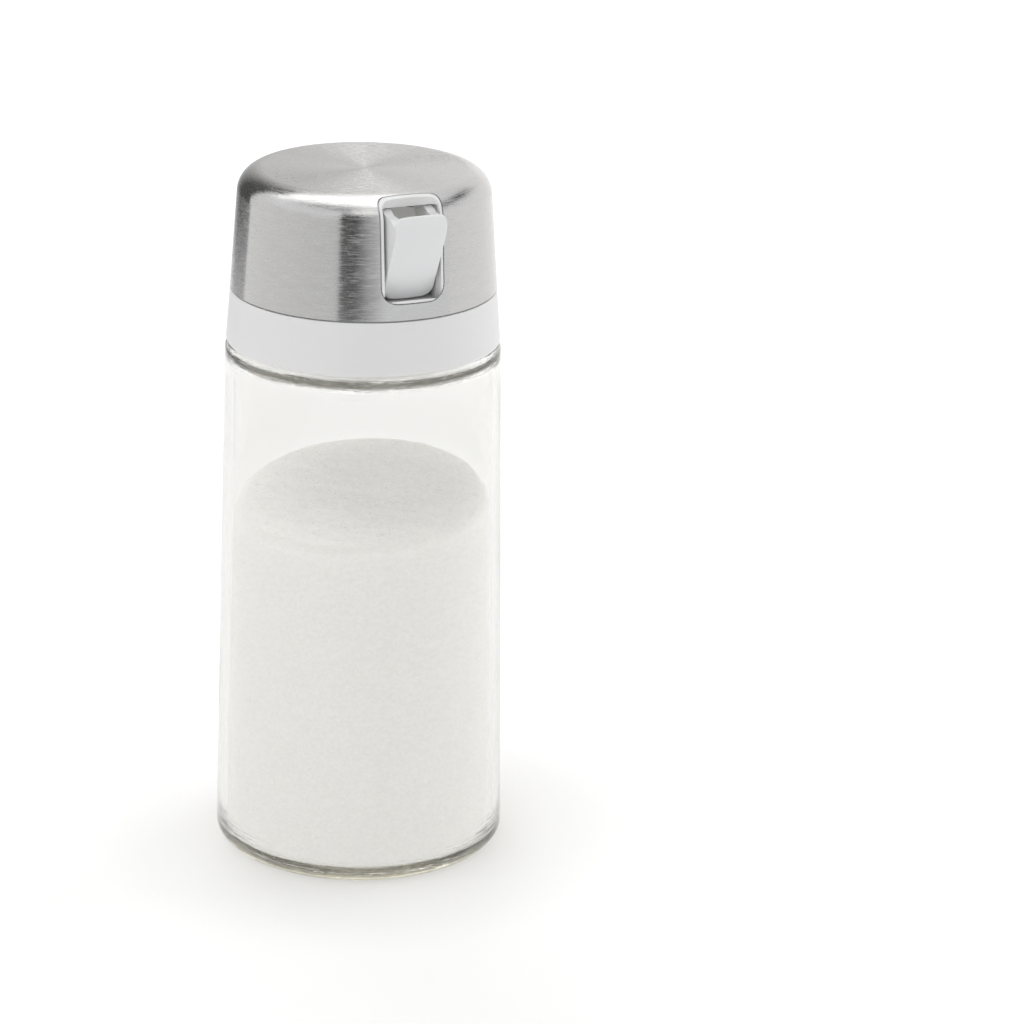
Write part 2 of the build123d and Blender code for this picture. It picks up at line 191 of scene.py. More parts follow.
def plasticFinish(name, colour, roughness, grainSize, grain, flow, handling, depth, scatter):
    material, tree, shader = newMaterial(
        name, IOR=plasticBody["ior"], Subsurface_Weight=scatter, Subsurface_Radius=plasticBody["reach"],
        Subsurface_Scale=plasticBody["scale"])
    skin = useGroup(tree, mouldedSkin,
                    **{"Grain Size": grainSize, "Grain": grain, "Flow": flow, "Handling": handling})
    plug(tree, shader.inputs["Base Color"], scaledColour(tree, colour, skin["Tone"]))
    plug(tree, shader.inputs["Roughness"], maths(tree, "ADD", skin["Roughness"], roughness))
    bumpInto(tree, shader, skin["Height"], depth)
    return material


collarFinish = {"colour": (0.755, 0.755, 0.758), "roughness": 0.42, "grainSize": 0.00035, "grain": 0.8,
                "flow": 0.5, "handling": 0.35, "depth": 0.000012, "scatter": 0.5}
frameFinish = {"colour": (0.80, 0.80, 0.80), "roughness": 0.30, "grainSize": 0.0004, "grain": 0.4,
               "flow": 0.4, "handling": 0.3, "depth": 0.000008, "scatter": 0.15}
flapFinish = {"colour": (0.77, 0.775, 0.78), "roughness": 0.30, "grainSize": 0.0004, "grain": 0.35,
              "flow": 0.5, "handling": 0.15, "depth": 0.000008, "scatter": 0.2}
linerFinish = {"colour": (0.70, 0.70, 0.695), "roughness": 0.5, "grainSize": 0.0005, "grain": 0.6,
               "flow": 0.6, "handling": 0.3, "depth": 0.000015, "scatter": 0.2}
gasketFinish = {"colour": (0.66, 0.66, 0.64), "roughness": 0.62, "grainSize": 0.0006, "grain": 0.7,
                "flow": 0.8, "handling": 0.6, "depth": 0.00002, "scatter": 0.5}
collarPlastic = plasticFinish("collarPlastic", **collarFinish)
framePlastic = plasticFinish("framePlastic", **frameFinish)
flapPlastic = plasticFinish("flapPlastic", **flapFinish)
linerPlastic = plasticFinish("linerPlastic", **linerFinish)
gasketSilicone = plasticFinish("gasketSilicone", **gasketFinish)

steelBody = {"quarterTurn": 0.25, "lineTone": 0.2, "streakTone": 0.12, "smearSize": 0.014}


def steelFinish(name, colour, roughness, scuff, anisotropy, linesPerMetre, stroke, contrast, depth, smear):
    material, tree, shader = newMaterial(name, Metallic=1.0, Anisotropic=anisotropy,
                                         Anisotropic_Rotation=steelBody["quarterTurn"])
    brushed = useGroup(tree, turnedLines,
                       **{"Lines Per Metre": linesPerMetre, "Stroke": stroke, "Contrast": contrast})
    dulled = useGroup(tree, smears, Size=steelBody["smearSize"], Amount=smear)
    tone = maths(tree, "ADD", maths(tree, "MULTIPLY", brushed["Line"], steelBody["lineTone"]),
                 maths(tree, "MULTIPLY", brushed["Streak"], steelBody["streakTone"]))
    plug(tree, shader.inputs["Base Color"], scaledColour(tree, colour, maths(tree, "ADD", tone, 1.0)))
    raised = maths(tree, "MAXIMUM", brushed["Line"], 0.0)
    scuffed = maths(tree, "MULTIPLY", raised, scuff)
    shine = maths(tree, "ADD", scuffed, roughness)
    plug(tree, shader.inputs["Roughness"], maths(tree, "ADD", shine, dulled["Dulling"]))
    grain = addNode(tree, "ShaderNodeTangent", {"direction_type": "RADIAL", "axis": "Z"})
    plug(tree, shader.inputs["Tangent"], grain.outputs[0])
    bumpInto(tree, shader, brushed["Line"], depth)
    return material


capFinish = {"colour": (0.565, 0.567, 0.568), "roughness": 0.17, "scuff": 1.1, "anisotropy": 0.94,
             "linesPerMetre": 4000.0, "stroke": 8.0, "contrast": 1.0, "depth": 0.00002, "smear": 0.04}
pinFinish = {"colour": (0.62, 0.62, 0.61), "roughness": 0.3, "scuff": 0.2, "anisotropy": 0.3,
             "linesPerMetre": 12000.0, "stroke": 10.0, "contrast": 0.6, "depth": 0.000004, "smear": 0.05}
capSteel = steelFinish("capSteel", **capFinish)
pinSteel = steelFinish("pinSteel", **pinFinish)

# clear soda-lime glass: slow waviness of a blown wall, and hoops left round its foot and shoulder
glassFinish = {
    "tint": (0.937, 0.937, 0.935, 1.0), "ior": 1.52, "waveSize": 0.011, "waveStretch": 0.35,
    "waveDepth": 0.00003, "hoops": 5.0, "hoopsPerMetre": 1100.0, "hoopStroke": 2.0,
    "footHoops": (0.006, 0.01), "shoulderHoops": (0.128, 0.131), "smear": 0.012, "smearSize": 0.02,
    "openColour": (0.985, 0.985, 0.98, 1.0), "bodyColour": (0.87, 0.85, 0.76, 1.0), "bodyDensity": 34.0,
}
jarGlass, tree, shader = newMaterial("jarGlass", Base_Color=glassFinish["tint"], IOR=glassFinish["ior"],
                                     Transmission_Weight=1.0)
place = addNode(tree, "ShaderNodeTexCoord").outputs["Object"]
stretch = addNode(tree, "ShaderNodeMapping", Vector=place, Scale=(1.0, 1.0, glassFinish["waveStretch"]))
waves = grainNoise(tree, stretch.outputs[0], 1.0 / glassFinish["waveSize"], detail=2.0, roughness=0.45)
upright = addNode(tree, "ShaderNodeSeparateXYZ", Vector=place).outputs["Z"]
nearEnds = maths(tree, "ADD", spread(tree, upright, *glassFinish["footHoops"], glassFinish["hoops"], 0.0),
                 spread(tree, upright, *glassFinish["shoulderHoops"], 0.0, glassFinish["hoops"]))
hoops = useGroup(tree, turnedLines, **{"Lines Per Metre": glassFinish["hoopsPerMetre"],
                                       "Stroke": glassFinish["hoopStroke"], "Contrast": 1.0})["Line"]
bumpInto(tree, shader, maths(tree, "ADD", waves, maths(tree, "MULTIPLY", hoops, nearEnds)),
         glassFinish["waveDepth"])
dulled = useGroup(tree, smears, Size=glassFinish["smearSize"], Amount=glassFinish["smear"])
plug(tree, shader.inputs["Roughness"], dulled["Dulling"])
clear = addNode(tree, "ShaderNodeBsdfTransparent", Color=glassFinish["openColour"])
seen = addNode(tree, "ShaderNodeLightPath").outputs
behind = shader.outputs[0]
for ray in ("Is Diffuse Ray", "Is Shadow Ray"):  # what stands in the jar is lit as if through open air
    mixed = tree.nodes.new("ShaderNodeMixShader")
    for socket, source in zip(mixed.inputs, (seen[ray], behind, clear.outputs[0])):
        plug(tree, socket, source)
    behind = mixed.outputs[0]
plug(tree, tree.nodes["Material Output"].inputs["Surface"], behind)
body = addNode(tree, "ShaderNodeVolumeAbsorption", Color=glassFinish["bodyColour"],
               Density=glassFinish["bodyDensity"])
plug(tree, tree.nodes["Material Output"].inputs["Volume"], body.outputs[0])

# granulated sugar: crystals about half a millimetre, packed, with a few that catch the light
sugarFinish = {
    "colour": (0.955, 0.942, 0.918), "ior": 1.5, "scatter": 0.75, "reach": (1.0, 0.95, 0.9), "scale": 0.004,
    "crystal": 0.0005, "crystalTone": 0.09, "clumpScale": 90.0, "clumpTone": 0.05, "roughness": 0.72,
    "glintsFrom": 0.9, "glintRoughness": 0.15, "depth": 0.00003,
}
packedSugar, tree, shader = newMaterial(
    "packedSugar", IOR=sugarFinish["ior"], Subsurface_Weight=sugarFinish["scatter"],
    Subsurface_Radius=sugarFinish["reach"], Subsurface_Scale=sugarFinish["scale"])
place = addNode(tree, "ShaderNodeTexCoord").outputs["Object"]
cells = addNode(tree, "ShaderNodeTexVoronoi", {"feature": "F1"}, Vector=place,
                Scale=1.0 / sugarFinish["crystal"])
clumps = grainNoise(tree, place, sugarFinish["clumpScale"], detail=4.0, roughness=0.6)
oneGrain = addNode(tree, "ShaderNodeSeparateColor", Color=cells.outputs["Color"]).outputs[0]
tone = maths(tree, "ADD", swing(tree, oneGrain, sugarFinish["crystalTone"]),
             swing(tree, clumps, sugarFinish["clumpTone"]))
plug(tree, shader.inputs["Base Color"],
     scaledColour(tree, sugarFinish["colour"], maths(tree, "ADD", tone, 1.0)))
plug(tree, shader.inputs["Roughness"], spread(tree, oneGrain, sugarFinish["glintsFrom"], 1.0,
                                              sugarFinish["roughness"], sugarFinish["glintRoughness"]))
bumpInto(tree, shader, cells.outputs["Distance"], sugarFinish["depth"])
print("finishes built")


# ---- helpers for Geometry Nodes: a profile in millimetres is turned round the upright axis

lathe = {"seam": 0.000001, "rowGuard": 0.25, "fewestSteps": 4, "degreesPerStep": 9,
         "millimetresPerMetre": 1000}


def newForm(name, inputs):
    tree = bpy.data.node_groups.new(name, "GeometryNodeTree")
    tree.interface.new_socket("Geometry", in_out="INPUT", socket_type="NodeSocketGeometry")
    for label, value in inputs.items():
        kind = "NodeSocketInt" if isinstance(value, int) else "NodeSocketFloat"
        if isinstance(value, bpy.types.Material):
            kind = "NodeSocketMaterial"
        tree.interface.new_socket(label, in_out="INPUT", socket_type=kind).default_value = value
    tree.interface.new_socket("Geometry", in_out="OUTPUT", socket_type="NodeSocketGeometry")
    return tree, tree.nodes.new("NodeGroupInput").outputs, tree.nodes.new("NodeGroupOutput").inputs


def makeForm(name, host, tree, material, values):
    blank = bpy.data.objects.new(name + "Host", host)
    bpy.context.scene.collection.objects.link(blank)
    modifier = blank.modifiers.new("form", "NODES")
    modifier.node_group = tree
    for socket in tree.interface.items_tree:
        if socket.in_out == "INPUT" and socket.name in values:
            modifier[socket.identifier] = values[socket.name]
    mesh = bpy.data.meshes.new_from_object(blank.evaluated_get(bpy.context.evaluated_depsgraph_get()))
    blank.modifiers.remove(modifier)
    bpy.data.objects.remove(blank)
    mesh.name = name
    mesh.materials.clear()
    mesh.materials.append(material)  # the converted mesh keeps the slot but loses what was in it
    piece = bpy.data.objects.new(name, mesh)
    bpy.context.scene.collection.objects.link(piece)
    return piece


def closeSheet(tree, sheet):  # the last column of points joins the first
    merged = addNode(tree, "GeometryNodeMergeByDistance", Geometry=sheet, Distance=lathe["seam"]).outputs[0]
    return addNode(tree, "GeometryNodeSetShadeSmooth", Geometry=merged).outputs[0]


def finishForm(tree, shape, material, out):
    finished = addNode(tree, "GeometryNodeSetMaterial", Geometry=shape, Material=material)
    plug(tree, out["Geometry"], finished.outputs[0])


def readProfile(tree, profile, row, attribute=None):
    if attribute:
        kind = "FLOAT"
        field = addNode(tree, "GeometryNodeInputNamedAttribute", {"data_type": kind}, Name=attribute)
    else:
        kind = "FLOAT_VECTOR"
        field = addNode(tree, "GeometryNodeInputPosition")
    return addNode(tree, "GeometryNodeSampleIndex", {"data_type": kind}, Geometry=profile,
                   Value=field.outputs[0], Index=row).outputs[0]


def wrapProfile(tree, profile, segments):  # a sheet with one column of points for each step round the axis
    rows = addNode(tree, "GeometryNodeAttributeDomainSize", Geometry=profile).outputs["Point Count"]
    sheet = addNode(tree, "GeometryNodeMeshGrid", **{"Vertices X": maths(tree, "ADD", segments, 1.0),
                                                     "Vertices Y": rows}).outputs["Mesh"]
    index = addNode(tree, "GeometryNodeInputIndex").outputs[0]
    column = maths(tree, "FLOOR", maths(tree, "DIVIDE", maths(tree, "ADD", index, lathe["rowGuard"]), rows))
    row = maths(tree, "SUBTRACT", index, maths(tree, "MULTIPLY", column, rows))
    angle = maths(tree, "DIVIDE", maths(tree, "MULTIPLY", column, 2 * pi), segments)
    return sheet, row, angle


def roundAxis(tree, angle, radius, height):  # the point at this angle round the axis
    east = maths(tree, "MULTIPLY", radius, maths(tree, "COSINE", angle))
    north = maths(tree, "MULTIPLY", radius, maths(tree, "SINE", angle))
    return addNode(tree, "ShaderNodeCombineXYZ", X=east, Y=north, Z=height).outputs[0]


def placeOnSheet(tree, sheet, place):
    return addNode(tree, "GeometryNodeSetPosition", Geometry=sheet, Position=place).outputs[0]


def roundedPath(corners):  # each corner: radius, height, rounding, spacing of the points up to the next one
    runs = []
    for index, corner in enumerate(corners):
        here = Vector(corner[:2])
        rounding = corner[2]
        if rounding == 0:
            runs.append([here])
            continue
        toBefore = (Vector(corners[index - 1][:2]) - here).normalized()
        toAfter = (Vector(corners[index + 1][:2]) - here).normalized()
        half = toBefore.angle(toAfter) / 2
        centre = here + (toBefore + toAfter).normalized() * rounding / sin(half)
        first = here + toBefore * rounding / tan(half) - centre
        second = here + toAfter * rounding / tan(half) - centre
        turn = atan2(first.x * second.y - first.y * second.x, first.dot(second))
        count = max(lathe["fewestSteps"], round(abs(turn) / radians(lathe["degreesPerStep"])))
        runs.append([centre + Matrix.Rotation(turn * part / count, 2) @ first for part in range(count + 1)])
    points = list(runs[0])
    for run, following, corner in zip(runs, runs[1:], corners):
        gap = following[0] - run[-1]
        count = max(1, round(gap.length / corner[3]))
        points += [run[-1] + gap * part / count for part in range(1, count)] + following
    return points


def clamped(value):
    return min(1.0, max(0.0, value))


def profileMesh(name, points, **weights):
    mesh = bpy.data.meshes.new(name)
    unit = lathe["millimetresPerMetre"]
    mesh.from_pydata([(p.x / unit, 0, p.y / unit) for p in points],
                     [(step, step + 1) for step in range(len(points) - 1)], [])
    for label, values in weights.items():
        mesh.attributes.new(label, "FLOAT", "POINT").data.foreach_set("value", values)
    return mesh


# ---- glass jar: thick foot hollowed below, tapering wall, shoulder, neck with three threads

jar = {
    "profile": [(0, 1.2, 0, 3.0), (29.8, 1.2, 0.5, 1.0), (31.0, 0, 0.5, 2.0), (37.28, 0, 3.5, 4.0),
                (34.7, 133.6, 1.6, 1.5), (30.6, 133.6, 0.8, 0.2), (30.6, 147.2, 0.8, 1.0),
                (27.8, 147.2, 0.8, 1.0), (27.8, 131.2, 0.8, 1.5), (32.1, 131.2, 2.6, 3.0),
                (34.7, 3.4, 2.0, 3.0), (0, 3.4, 0, 1.0)],
    "insideFrom": (27.8, 147.0), "neckRadii": (30.5, 30.7), "neckHeights": (135.0, 146.4),
    "wavesEnd": 130.0, "wavesFadeUp": 8.0, "wavesStart": 5.0, "wavesFadeDown": 4.0, "waveStretch": 0.3,
    "form": {"Segments": 240, "Starts": 3, "Lead": 0.012, "Thread Foot": 0.139, "Thread Sweep": 150.0,
             "Thread Root": 0.0019, "Thread Crest": 0.0008, "Thread Depth": 0.0013, "Thread Fade": 5.0,
             "Wave Depth": 0.00007, "Wave Size": 0.013, "Glass": jarGlass},
}
jarForm, given, out = newForm("jarForm", jar["form"])
profile = given["Geometry"]
sheet, row, angle = wrapProfile(jarForm, profile, given["Segments"])
apart = addNode(jarForm, "ShaderNodeSeparateXYZ", Vector=readProfile(jarForm, profile, row)).outputs
radius, height = apart["X"], apart["Z"]
perStart = maths(jarForm, "DIVIDE", 2 * pi, given["Starts"])
sweep = maths(jarForm, "RADIANS", given["Thread Sweep"])
fade = maths(jarForm, "RADIANS", given["Thread Fade"])
ridge = None
for turnBack in (0.0, 1.0):  # at any angle one thread may run above another
    along = maths(jarForm, "ADD", maths(jarForm, "MODULO", angle, perStart),
                  maths(jarForm, "MULTIPLY", perStart, turnBack))
    middle = maths(jarForm, "ADD", given["Thread Foot"],
                   maths(jarForm, "MULTIPLY", given["Lead"], maths(jarForm, "DIVIDE", along, 2 * pi)))
    aside = maths(jarForm, "ABSOLUTE", maths(jarForm, "SUBTRACT", height, middle))
    section = spread(jarForm, aside, maths(jarForm, "MULTIPLY", given["Thread Crest"], 0.5),
                     maths(jarForm, "MULTIPLY", given["Thread Root"], 0.5), 1.0, 0.0)
    rise = spread(jarForm, along, 0.0, fade)
    fall = spread(jarForm, along, maths(jarForm, "SUBTRACT", sweep, fade), sweep, 1.0, 0.0)
    one = maths(jarForm, "MULTIPLY", section, maths(jarForm, "MULTIPLY", rise, fall))
    ridge = one if ridge is None else maths(jarForm, "MAXIMUM", ridge, one)
onNeck = readProfile(jarForm, profile, row, "neck")
threaded = maths(jarForm, "MULTIPLY", maths(jarForm, "MULTIPLY", ridge, given["Thread Depth"]), onNeck)
onInside = readProfile(jarForm, profile, row, "inside")
around = roundAxis(jarForm, angle, radius, maths(jarForm, "MULTIPLY", height, jar["waveStretch"]))
waveScale = maths(jarForm, "DIVIDE", 1.0, given["Wave Size"])
wave = grainNoise(jarForm, around, waveScale, detail=2.0, roughness=0.4)
waved = maths(jarForm, "MULTIPLY", maths(jarForm, "MULTIPLY", wave, given["Wave Depth"]), onInside)
bulged = maths(jarForm, "ADD", radius, maths(jarForm, "ADD", threaded, waved))
sheet = placeOnSheet(jarForm, sheet, roundAxis(jarForm, angle, bulged, height))
finishForm(jarForm, closeSheet(jarForm, sheet), given["Glass"], out)

path = roundedPath(jar["profile"])
mouthRadius, mouthHeight = jar["insideFrom"]
inner = path.index(min(path, key=lambda p: abs(p.x - mouthRadius) + abs(p.y - mouthHeight)))
neckNear, neckFar = jar["neckRadii"]
neckLow, neckHigh = jar["neckHeights"]
host = profileMesh(
    "jarProfile", path,
    neck=[1.0 if neckNear < p.x < neckFar and neckLow < p.y < neckHigh else 0.0 for p in path],
    inside=[clamped((jar["wavesEnd"] - p.y) / jar["wavesFadeUp"])
            * clamped((p.y - jar["wavesStart"]) / jar["wavesFadeDown"]) if index > inner else 0.0
            for index, p in enumerate(path)],
)
glassJar = makeForm("glassJar", host, jarForm, jarGlass, jar["form"])
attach(glassJar, "jar")
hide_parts("glass_jar")
print("glass jar made:", len(glassJar.data.polygons), "faces")

# ---- sugar: fills the jar to a sloping, slightly uneven top with loose crystals on it

sugar = {
    "profile": [(0, 3.4, 0, 4.0), (34.55, 3.4, 2.0, 3.0), (32.72, 93.4, 2.6, 0.7), (0, 93.4, 0, 0.7)],
    "slopeStarts": 11.0, "slopeGrows": 81.0, "topStarts": 92.5, "topEdge": 32.2, "topFade": 2.0,
    "rippleScale": 450.0, "bedSlope": 0.6, "largestTurn": (6.28, 6.28, 6.28), "smallest": (0.45, 0.45, 0.45),
    "largest": (1.0, 1.0, 1.0), "flatness": 0.8,
    "form": {"Segments": 200, "Slope X": 0.0992, "Slope Y": 0.1045, "Swell": 0.0009, "Swell Size": 0.016,
             "Ripple": 0.0002, "Crystals": 250000.0, "Crystal Size": 0.0002, "Seed": 7, "Sugar": packedSugar},
}  # Crystals: how many on a square metre; bedSlope: they lie where the face points up more than this
sugarForm, given, out = newForm("sugarForm", sugar["form"])
profile = given["Geometry"]
sheet, row, angle = wrapProfile(sugarForm, profile, given["Segments"])
apart = addNode(sugarForm, "ShaderNodeSeparateXYZ", Vector=readProfile(sugarForm, profile, row)).outputs
radius, height = apart["X"], apart["Z"]
flatPlace = roundAxis(sugarForm, angle, radius, 0.0)
level = addNode(sugarForm, "ShaderNodeSeparateXYZ", Vector=flatPlace).outputs
slope = maths(sugarForm, "ADD", maths(sugarForm, "MULTIPLY", level["X"], given["Slope X"]),
              maths(sugarForm, "MULTIPLY", level["Y"], given["Slope Y"]))
swellScale = maths(sugarForm, "DIVIDE", 1.0, given["Swell Size"])
swell = grainNoise(sugarForm, flatPlace, swellScale, detail=2.0, roughness=0.5)
ripple = grainNoise(sugarForm, flatPlace, sugar["rippleScale"], detail=3.0, roughness=0.6)
uneven = maths(sugarForm, "ADD", swing(sugarForm, swell, given["Swell"]),
               swing(sugarForm, ripple, given["Ripple"]))
sloped = maths(sugarForm, "MULTIPLY", slope, readProfile(sugarForm, profile, row, "sloped"))
heaped = maths(sugarForm, "MULTIPLY", uneven, readProfile(sugarForm, profile, row, "top"))
lifted = maths(sugarForm, "ADD", height, maths(sugarForm, "ADD", sloped, heaped))
sheet = placeOnSheet(sugarForm, sheet, roundAxis(sugarForm, angle, radius, lifted))
upward = addNode(sugarForm, "ShaderNodeSeparateXYZ",
                 Vector=addNode(sugarForm, "GeometryNodeInputNormal").outputs[0]).outputs["Z"]
strewn = addNode(sugarForm, "GeometryNodeDistributePointsOnFaces", Mesh=sheet,
                 Selection=maths(sugarForm, "GREATER_THAN", upward, sugar["bedSlope"]),
                 Density=given["Crystals"], Seed=given["Seed"])
spin = addNode(sugarForm, "FunctionNodeRandomValue", {"data_type": "FLOAT_VECTOR"}, Seed=given["Seed"])
spin.inputs["Max"].default_value = sugar["largestTurn"]
size = addNode(sugarForm, "FunctionNodeRandomValue", {"data_type": "FLOAT_VECTOR"},
               Seed=maths(sugarForm, "ADD", given["Seed"], 1.0))
size.inputs["Min"].default_value = sugar["smallest"]
size.inputs["Max"].default_value = sugar["largest"]
edge = addNode(sugarForm, "ShaderNodeCombineXYZ", X=given["Crystal Size"], Y=given["Crystal Size"],
               Z=maths(sugarForm, "MULTIPLY", given["Crystal Size"], sugar["flatness"])).outputs[0]
crystal = addNode(sugarForm, "GeometryNodeMeshCube", Size=edge).outputs["Mesh"]
crystals = addNode(sugarForm, "GeometryNodeInstanceOnPoints", Points=strewn.outputs["Points"],
                   Instance=crystal, Rotation=spin.outputs[0], Scale=size.outputs[0]).outputs[0]
loose = addNode(sugarForm, "GeometryNodeRealizeInstances", Geometry=crystals).outputs[0]
both = addNode(sugarForm, "GeometryNodeJoinGeometry")
for shape in (closeSheet(sugarForm, sheet), loose):
    sugarForm.links.new(shape, both.inputs[0])
finishForm(sugarForm, both.outputs[0], given["Sugar"], out)

path = roundedPath(sugar["profile"])
topFrom = next(index for index, p in enumerate(path) if p.y > sugar["topStarts"])
host = profileMesh(
    "sugarProfile", path,
    sloped=[clamped((p.y - sugar["slopeStarts"]) / sugar["slopeGrows"]) for p in path],
    top=[0.0 if index < topFrom else clamped((sugar["topEdge"] - p.x) / sugar["topFade"])
         for index, p in enumerate(path)],
)
sugarFill = makeForm("sugarFill", host, sugarForm, packedSugar, sugar["form"])
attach(sugarFill, "jar")
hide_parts("sugar_fill")
print("sugar made:", len(sugarFill.data.polygons), "faces")

# ---- the other pieces keep their CAD meshes

dressing = {
    "lid_collar": collarPlastic, "window_frame": framePlastic, "inner_cap": linerPlastic,
    "flap_housing": linerPlastic, "flap": flapPlastic, "rim_gasket": gasketSilicone, "steel_cap": capSteel,
    "flap_pin": pinSteel,
}
for name, material in dressing.items():
    nodes[name].data.materials.clear()
    nodes[name].data.materials.append(material)
print("nodes dressed")

# ---- studio: pale floor that runs white to the camera, with a painted shadow round the jar's foot, soft lamps, and cards that only reflections see

studio = {
    "floorSize": 6.0, "floorDrop": 0.0002, "floorColour": (0.80, 0.80, 0.80, 1.0), "floorLift": 0.155,
    "paintedShadowRing": (0.04, 0.075), "paintedShadowGlow": 0.1, "floorWhite": 0.22, "farRing": (0.8, 2.6), "floorFar": 0.3,
    "horizonLevel": 1.0, "zenithLevel": 0.5,
}  # the rings are distances from the foot's middle over which the floor's glow grows; inside the first ring the camera sees the glow dimmed, a painted shadow round the foot


def stageSheet(name, corners, across, material):
    mesh = bpy.data.meshes.new(name)
    mesh.from_pydata(corners, [], [range(len(corners))])
    mesh.uv_layers.new(name="UVMap").data.foreach_set("uv", [part for pair in across for part in pair])
    mesh.materials.append(material)
    board = bpy.data.objects.new(name, mesh)
    bpy.context.scene.collection.objects.link(board)
    return board


def stagePlane(name, size, place, facing, material):
    halfWide, halfHigh = size[0] / 2, size[1] / 2
    turn = Vector(facing).normalized().to_track_quat("Z", "Y").to_matrix()
    corners = [turn @ Vector((sx * halfWide, sy * halfHigh, 0)) + Vector(place)
               for sx, sy in ((-1, -1), (1, -1), (1, 1), (-1, 1))]
    return stageSheet(name, corners, ((1, 0), (0, 0), (0, 1), (1, 1)), material)


floorPaint, tree, shader = newMaterial("floorPaint", Base_Color=studio["floorColour"], Roughness=0.9)
plug(tree, shader.inputs["Emission Color"], (1.0, 1.0, 1.0, 1.0))
toCamera = addNode(tree, "ShaderNodeLightPath").outputs["Is Camera Ray"]
place = addNode(tree, "ShaderNodeTexCoord").outputs["Object"]
away = addNode(tree, "ShaderNodeVectorMath", {"operation": "LENGTH"}, Vector=place).outputs["Value"]
# painted shadow: the glow the camera sees is lowered near the foot
liftWithPaintedShadow = spread(tree, away, *studio["paintedShadowRing"], studio["paintedShadowGlow"], studio["floorWhite"])
farLift = spread(tree, away, *studio["farRing"], 0.0, studio["floorFar"])
plug(tree, shader.inputs["Emission Strength"],
     maths(tree, "ADD", farLift, spread(tree, toCamera, 0.0, 1.0, studio["floorLift"], liftWithPaintedShadow)))
stagePlane("floor", (studio["floorSize"],) * 2, (0, 0, -studio["floorDrop"]), (0, 0, 1), floorPaint)

world = bpy.data.worlds.new("studio")
bpy.context.scene.world = world
world.use_nodes = True
tree = world.node_tree
background = tree.nodes["Background"]
seen = addNode(tree, "ShaderNodeLightPath").outputs
seenFlat = maths(tree, "MAXIMUM", seen["Is Camera Ray"],
                 maths(tree, "MAXIMUM", seen["Is Glossy Ray"], seen["Is Transmission Ray"]))
background.inputs["Color"].default_value = (1.0, 1.0, 1.0, 1.0)
direction = addNode(tree, "ShaderNodeTexCoord").outputs["Generated"]
rising = addNode(tree, "ShaderNodeSeparateXYZ", Vector=direction).outputs["Z"]
lightLevel = spread(tree, rising, 0.0, 1.0, studio["horizonLevel"], studio["zenithLevel"])
plug(tree, background.inputs["Strength"], spread(tree, seenFlat, 0.0, 1.0, lightLevel, 1.0))


def areaLamp(name, size, place, aim, watts):
    lamp = bpy.data.lights.new(name, "AREA")
    lamp.shape = "RECTANGLE"
    lamp.size, lamp.size_y = size
    lamp.energy = watts
    fitting = bpy.data.objects.new(name, lamp)
    bpy.context.scene.collection.objects.link(fitting)
    fitting.visible_glossy = False  # reflections are shown the cards instead
    fitting.matrix_world = (Matrix.Translation(place)
                            @ (Vector(place) - Vector(aim)).to_track_quat("Z", "Y").to_matrix().to_4x4())


lamps = {
    "overheadLeft": {"size": (0.9, 0.5), "place": (-0.4, -0.15, 1.15), "aim": (0, 0, 0.12), "watts": 2.8},
    "rightSoft": {"size": (1.0, 1.0), "place": (1.1, 0.15, 0.6), "aim": (0, 0, 0.1), "watts": 3.3},
    "backSoft": {"size": (0.9, 0.6), "place": (0.2, 1.1, 0.75), "aim": (0, 0, 0.08), "watts": 3.7},
}
for name, lamp in lamps.items():
    areaLamp(name, **lamp)


cardTint = (1.0, 0.985, 0.97)


def cardMaterial(name, levels, soft):  # levels: tone at its two edges; soft: how far it fades in from each
    material, tree, shader = newMaterial(name, Base_Color=(0, 0, 0, 1), Roughness=1.0, Specular_IOR_Level=0.0,
                                         Emission_Strength=1.0)
    place = addNode(tree, "ShaderNodeUVMap").outputs[0]
    across = addNode(tree, "ShaderNodeSeparateXYZ", Vector=place).outputs["X"]
    plug(tree, shader.inputs["Emission Color"],
         scaledColour(tree, cardTint, spread(tree, across, 0.0, 1.0, *levels)))
    fadeIn = spread(tree, across, 0.0, soft[0]) if soft[0] else 1.0
    fadeOut = spread(tree, across, 1.0 - soft[1], 1.0, 1.0, 0.0) if soft[1] else 1.0
    plug(tree, shader.inputs["Alpha"], maths(tree, "MULTIPLY", fadeIn, fadeOut))
    return material


def mirroredOnly(board):
    board.visible_camera = False
    board.visible_diffuse = False
    board.visible_shadow = False
    board.visible_transmission = False


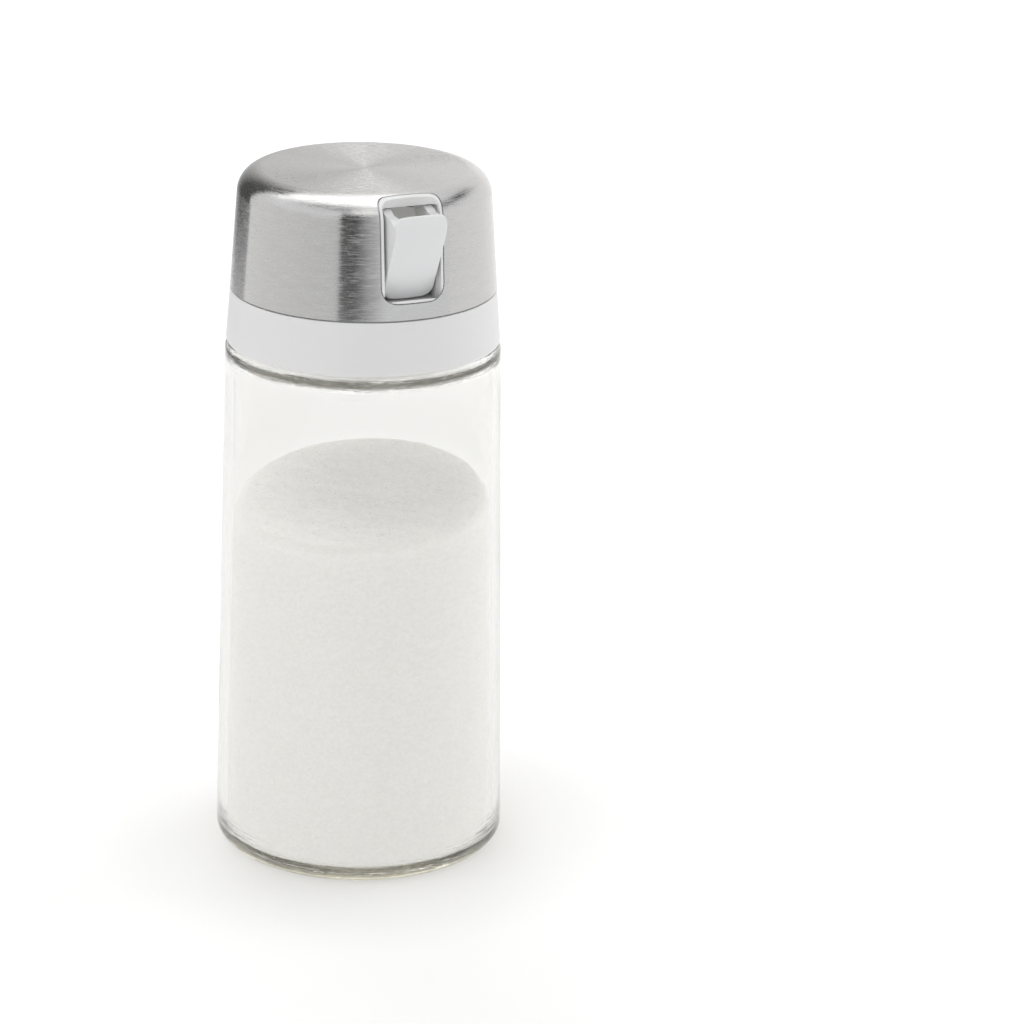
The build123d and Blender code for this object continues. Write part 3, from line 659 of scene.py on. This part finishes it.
cards = {  # turn: degrees from straight ahead; span: degrees covered; low and high: edges above the floor
    "cardFront": {"turn": -23.3, "span": 38.4, "away": 0.5, "low": 0.0, "high": 0.46,
                  "levels": (0.04, 0.04), "soft": (0.0, 0.65)},
    "cardBehind": {"turn": -174.0, "span": 68.0, "away": 0.5, "low": 0.03, "high": 0.9,
                   "levels": (0.12, 0.08), "soft": (0.6, 0.0)},
    "cardLeft": {"turn": -94.5, "span": 104.0, "away": 0.4, "low": 0.0, "high": 0.27,
                 "levels": (1.03, 0.72), "soft": (0.0, 0.0)},
    "cardGap": {"turn": -65.0, "span": 90.0, "away": 0.45, "low": 0.62, "high": 0.86,
                "levels": (0.2, 0.1), "soft": (0.4, 0.0)},
    "cardPatch": {"turn": -23.5, "span": 37.0, "away": 0.5, "low": 0.48, "high": 0.65,
                  "levels": (2.0, 2.0), "soft": (0.3, 0.3)},
    "cardRight": {"turn": 85.0, "span": 76.0, "away": 0.4, "low": 0.4, "high": 0.52,
                  "levels": (0.03, 0.06), "soft": (0.15, 0.3)},
    "cardBow": {"turn": 157.0, "span": 14.0, "away": 1.1, "low": 0.8, "high": 1.5,
                "levels": (2.1, 2.1), "soft": (0.3, 0.3)},
    "cardBack": {"turn": 157.0, "span": 100.0, "away": 1.2, "low": 0.25, "high": 1.8,
                 "levels": (0.97, 0.97), "soft": (0.1, 0.1)},
    "cardRightWall": {"turn": 105.0, "span": 100.0, "away": 0.4, "low": 0.0, "high": 0.3,
                      "levels": (1.0, 1.12), "soft": (0.0, 0.0)},
}
for name, card in cards.items():
    angle = radians(card["turn"])
    middle = (card["low"] + card["high"]) / 2
    place = Vector((sin(angle) * card["away"], -cos(angle) * card["away"], middle))
    wide = 2 * card["away"] * tan(radians(card["span"] / 2))
    mirroredOnly(stagePlane(name, (wide, card["high"] - card["low"]), place, (-place.x, -place.y, 0),
                            cardMaterial(name, card["levels"], card["soft"])))
ceiling = {  # bright sheet over the cap; its levels and its fade run from front to back
    "outline": ((0.0, -0.3), (0.28, -0.3), (0.28, 1.5), (-1.1, 1.5), (-0.73, 0.51), (-0.44, 0.17),
                (-0.3, -0.03), (-0.17, -0.11)),
    "height": 0.87, "levels": (2.8, 0.8), "soft": (0.0, 0.35),
}
front = min(y for x, y in ceiling["outline"])
back = max(y for x, y in ceiling["outline"])
mirroredOnly(stageSheet(
    "cardCeiling", [(x, y, ceiling["height"]) for x, y in ceiling["outline"]],
    [((y - front) / (back - front), 0.5) for x, y in ceiling["outline"]],
    cardMaterial("cardCeiling", ceiling["levels"], ceiling["soft"]),
))
print("studio set")

# ---- camera, at the photograph's viewpoint

view = {"place": (-0.34047, -0.84373, 0.41011), "heading": (0.38943, 0.85850, -0.33364), "roll": 1.36,
        "focalPixels": 3770.0, "framePixels": 1024.0, "sensor": 36.0}
camera = bpy.data.cameras.new("camera")
camera.sensor_width = view["sensor"]
camera.lens = view["focalPixels"] / view["framePixels"] * view["sensor"]
cameraObject = bpy.data.objects.new("camera", camera)
bpy.context.scene.collection.objects.link(cameraObject)
backward = -Vector(view["heading"]).normalized()
right = Vector((0, 0, 1)).cross(backward).normalized()
up = backward.cross(right)
roll = radians(view["roll"])
rolledRight = right * cos(roll) + up * sin(roll)
rolledUp = up * cos(roll) - right * sin(roll)
turn = Matrix((rolledRight, rolledUp, backward)).transposed().to_4x4()
cameraObject.matrix_world = Matrix.Translation(view["place"]) @ turn
bpy.context.scene.camera = cameraObject
bpy.context.scene.view_settings.view_transform = "Standard"
print("camera placed")
